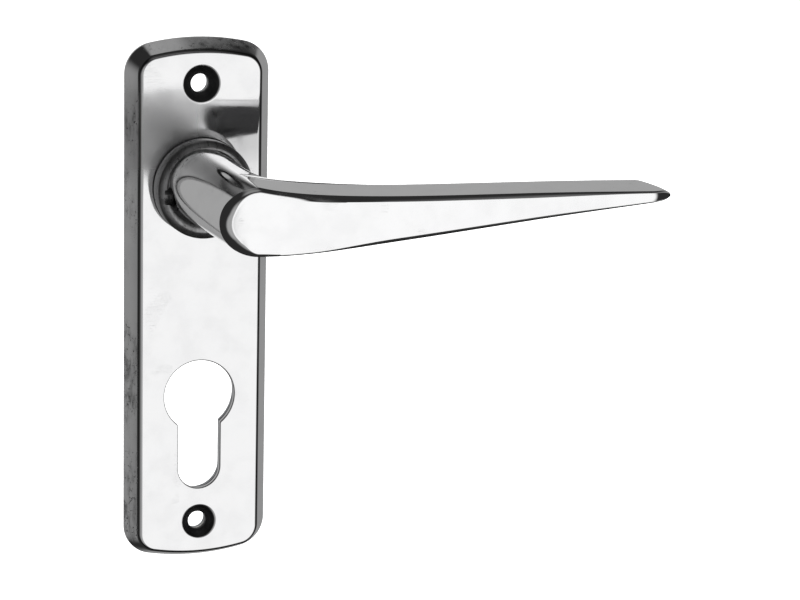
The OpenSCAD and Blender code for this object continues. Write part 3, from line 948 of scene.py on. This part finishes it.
def wiped(tree):
    """1 on the patch above the collar and left of it, where hands and cloths have dulled the polish."""
    place = tree.split("Object")
    side = tree.ramp(place["X"], 4 * mm, -3 * mm)
    above, below = tree.ramp(place["Z"], 0, 7 * mm), tree.ramp(place["Z"], 29 * mm, 23 * mm)
    return tree.math("MULTIPLY", side, tree.math("MULTIPLY", above, below))


# %% Say where the lever is unpolished and painted with shade, and pitted
def back_of_lever(tree):
    """The lever's back and shank, which the buffing wheel only brushed, and the collar's face; all are
    also painted a very dark grey as painted shade, the collar at 0.6 of it.
    """
    edge = -collar_front
    collar = tree.ramp(tree.split("Object")["Y"], edge - 1.4 * mm, edge - 0.2 * mm, 0.0, 0.6)
    return tree.math("MAXIMUM", tree.ramp(tree.split("Normal")["Y"], 0.4, 0.8), collar)


def neck_foot_wear(tree):
    """Most of the way to 1 near the collar, where the casting keeps a few pits."""
    near = tree.ramp(tree.split("Object")["Y"], -collar_front - 9 * mm, -collar_front - 1 * mm)
    return tree.math("MULTIPLY", near, 0.7)


# %% [markdown]
# A pressed sheet is never quite flat. From the height of the spindle up to the top screw the cover leans
# out by a few degrees, too little to see on its outline but enough to tip what it mirrors. A bump layer
# that rises with height leans the reflections and leaves the mesh inside its true size.

# %% Lean the top of the cover and dress both new pieces
lean_start, lean_end, lean_height = -5 * mm, 29 * mm, 4.1 * mm


def leaning_sheet(tree):
    """One bump layer that rises from lean_start to lean_end."""
    return [(tree.ramp(tree.split("Object")["Z"], lean_start, lean_end), 1.0, lean_height)]


def dress(piece, material):
    """Gives a piece one material and no other."""
    piece.data.materials.clear()
    piece.data.materials.append(material)
    print(piece.name, "is dressed in", material.name)


dress(cover, polished_aluminium(
    "polished_cover_metal", shine=0.9, painted_edge_shade=0.85, waves=0.35, wave_size=17 * mm,
    unpolished_and_shaded=inside_of_cover, pitted=worn_border, dished=leaning_sheet, dulled=wiped))
dress(lever, polished_aluminium(
    "polished_lever_metal", shine=0.955, painted_edge_shade=0.0, waves=0.2, wave_size=15 * mm,
    unpolished_and_shaded=back_of_lever, pitted=neck_foot_wear))

# %% [markdown]
# ## Steel, spring wire and nylon
# The parts behind the cover are plain factory parts: zinc-plated sheet with its cloudy crystals, drawn
# square bar with lines along its length, blackened clips and screws, and moulded nylon. They differ in
# colour, in gloss and in the size and stretch of one cloudy pattern, so two functions make them all.

# %% Plated, drawn and blackened steel
def steel(name, light, dark, roughness, patch, stretch=(1, 1, 1)):
    """Bare or plated steel: clouds of two greys, each patch metres across, over a fine grain."""
    tree = Tree(bpy.data.materials.new(name))
    tree.feed(tree.shader["Metallic"], 1.0)
    clouds = tree.ramp(tree.noise(patch, 4.0, stretch), 0.3, 0.7)
    tree.feed(tree.shader["Base Color"], tree.mix(clouds, (*dark, 1), (*light, 1)))
    tree.feed(tree.shader["Roughness"], tree.ramp(clouds, 0, 1, roughness + 0.1, roughness - 0.05))
    tree.bumps([(tree.noise(0.3 * mm, 3.0, stretch), 0.4, 0.02 * mm)])
    return tree.owner


# %% Moulded nylon
def nylon(name, light, dark):
    """Moulded nylon: flow marks of two near tones under a fine, slightly matt skin."""
    tree = Tree(bpy.data.materials.new(name))
    tree.feed(tree.shader["Subsurface Weight"], 0.0)
    flow = tree.ramp(tree.noise(4 * mm, 3.0), 0.3, 0.7)
    tree.feed(tree.shader["Base Color"], tree.mix(flow, (*dark, 1), (*light, 1)))
    tree.feed(tree.shader["Roughness"], tree.ramp(flow, 0, 1, 0.5, 0.38))
    tree.bumps([(tree.noise(0.25 * mm, 2.0), 0.3, 0.03 * mm)])
    return tree.owner


# %% Dress the parts behind the cover
finishes = {
    "zinc_steel": steel("zinc_plated_steel", (0.62, 0.64, 0.66), (0.42, 0.43, 0.45), 0.34, 2.2 * mm),
    "bright_steel": steel("drawn_bar_steel", (0.56, 0.56, 0.57), (0.38, 0.38, 0.39), 0.3, 1.2 * mm,
                          stretch=(1, 0.05, 1)),
    "spring_steel": steel("spring_wire_steel", (0.42, 0.41, 0.40), (0.26, 0.25, 0.24), 0.3, 1.5 * mm),
    "black_steel": steel("blackened_steel", (0.055, 0.055, 0.06), (0.02, 0.02, 0.022), 0.36, 1.3 * mm),
    "black_nylon": nylon("moulded_black_nylon", (0.035, 0.035, 0.037), (0.02, 0.02, 0.021)),
    "white_nylon": nylon("moulded_white_nylon", (0.78, 0.77, 0.73), (0.68, 0.67, 0.62)),
}
for part in record["subparts"]:
    if part["material_slot"] in finishes:
        dress(frame["nodes"][part["node"]], finishes[part["material_slot"]])

# %% [markdown]
# ## Floor, light and camera
# A mirror shows its room, so lighting it means choosing what it sees. The floor is a white light table,
# far enough below that the handle throws no shadow on it, and it is hidden from mirrors and from the
# light, so it is only a ground to look at.

# %% Lay the floor
table_z = plate_low.z - 60 * mm
table_size = 12
white_level = 1.1
floor_mesh = bpy.data.meshes.new("light_table")
bm = bmesh.new()
bmesh.ops.create_grid(bm, x_segments=8, y_segments=8, size=table_size,
                      matrix=Matrix.Translation((0, 0, table_z)))
bm.to_mesh(floor_mesh)
bm.free()
floor = bpy.data.objects.new("light_table", floor_mesh)
scene.collection.objects.link(floor)
table_finish = Tree(bpy.data.materials.new("pale_light_table"))
table_finish.shader["Base Color"].default_value = (0.9, 0.9, 0.9, 1)
table_finish.shader["Roughness"].default_value = 0.8
table_finish.shader["Emission Color"].default_value = (1, 1, 1, 1)
table_finish.shader["Emission Strength"].default_value = white_level
floor_mesh.materials.append(table_finish.owner)
floor.visible_glossy = False
floor.visible_diffuse = False
floor.visible_shadow = False
print("the light table is", round(-table_z / mm), "mm below the spindle")

# %% [markdown]
# The room is painted on the world as soft round patches of light. One large white wall stands low in
# front, to the right, and gives the bright face of the plate and the lever. To its left is a dimmer one;
# grey walls stand at both sides and behind; and a few small patches overhead give the bands along the
# lever's top. Between them the room is nearly black, which is what draws the dark lines. Area lamps
# would do the same, but each would also show as a hard-edged shape. The camera itself sees plain white
# instead of the room.

# %% Paint the room
# each wall is (azimuth from the front towards +X, elevation, inner and outer edge in degrees, light)
walls = [
    (24, -9, 14, 30, 0.98),
    (-20, -14, 18, 34, 0.34),
    (175, 12, 35, 70, 0.34),
    (118, -8, 30, 46, 0.28),
    (180, 82, 8, 18, 0.3),
    (-125, -5, 30, 48, 0.24),
    (150, 66, 8, 20, 0.15),
    (5, 42, 8, 24, 0.2),
]
room_glow = 0.024


def direction(azimuth, elevation):
    """The unit vector from the handle towards a wall."""
    a, e = math.radians(azimuth), math.radians(elevation)
    return math.sin(a) * math.cos(e), -math.cos(a) * math.cos(e), math.sin(e)


world = bpy.data.worlds.new("studio_room")
scene.world = world
room = Tree(world)
light = 0.0
for azimuth, elevation, inner, outer, strength in walls:
    towards = room.add("VectorMath", {0: room.coordinates["Generated"], 1: direction(azimuth, elevation)},
                       operation="DOT_PRODUCT")["Value"]
    angle = room.math("ARCCOSINE", towards)
    patch = room.ramp(angle, math.radians(outer), math.radians(inner), 0.0, strength)
    light = room.math("MAXIMUM", light, patch)
lit = room.math("ADD", light, room_glow)
camera_ray = room.add("LightPath")["Is Camera Ray"]
seen = room.add("Mix", {"Factor": camera_ray, "A": lit, "B": white_level})["Result"]
room.shader["Color"].default_value = (1, 1, 1, 1)
room.feed(room.shader["Strength"], seen)
print(len(walls), "walls are painted round the handle")

# %% [markdown]
# Steel in shade and nylon scatter light and need a lamp, but the mirrors must not show it. Two large
# soft lamps, one at the front left and one behind, are hidden from every reflection.

# %% Hang two soft lamps for the parts that are not mirrors
lamp_data = bpy.data.lights.new("soft_lamp", "AREA")
lamp_data.shape = "DISK"
lamp_data.size = 0.8
lamp_data.energy = 9
for name, place in (("soft_lamp", (-0.5, -0.9, 1.0)), ("soft_back_lamp", (0.6, 1.0, 0.9))):
    lamp = bpy.data.objects.new(name, lamp_data)
    lamp.location = place
    lamp.rotation_euler = (-Vector(place)).to_track_quat("-Z", "Y").to_euler()
    lamp.visible_glossy = False
    scene.collection.objects.link(lamp)
    print(name, "hangs", round(lamp.location.length, 2), "m away")

# %% [markdown]
# The handle is looked at as one would in a shop: from the left, a little above it, from about three
# quarters of a metre away, with a long lens that keeps the plate's sides nearly parallel.

# %% Set up the camera
turned_right, looking_down, rolled = 20.02, 12.41, 1.28
camera_place = Vector((-201.27, -707.57, 132.04)) * mm
camera_data = bpy.data.cameras.new("camera")
camera_data.sensor_width = 36
camera_data.lens = 130.5
camera_data.clip_start = 0.05
camera_data.clip_end = 60
camera = bpy.data.objects.new("camera", camera_data)
scene.collection.objects.link(camera)
camera.matrix_world = (Matrix.Translation(camera_place)
                       @ Matrix.Rotation(math.radians(-turned_right), 4, "Z")
                       @ Matrix.Rotation(math.radians(90 - looking_down), 4, "X")
                       @ Matrix.Rotation(math.radians(rolled), 4, "Z"))
scene.camera = camera
scene.view_settings.view_transform = "Standard"
print("the camera stands", round(camera_place.length, 3), "m from the spindle")
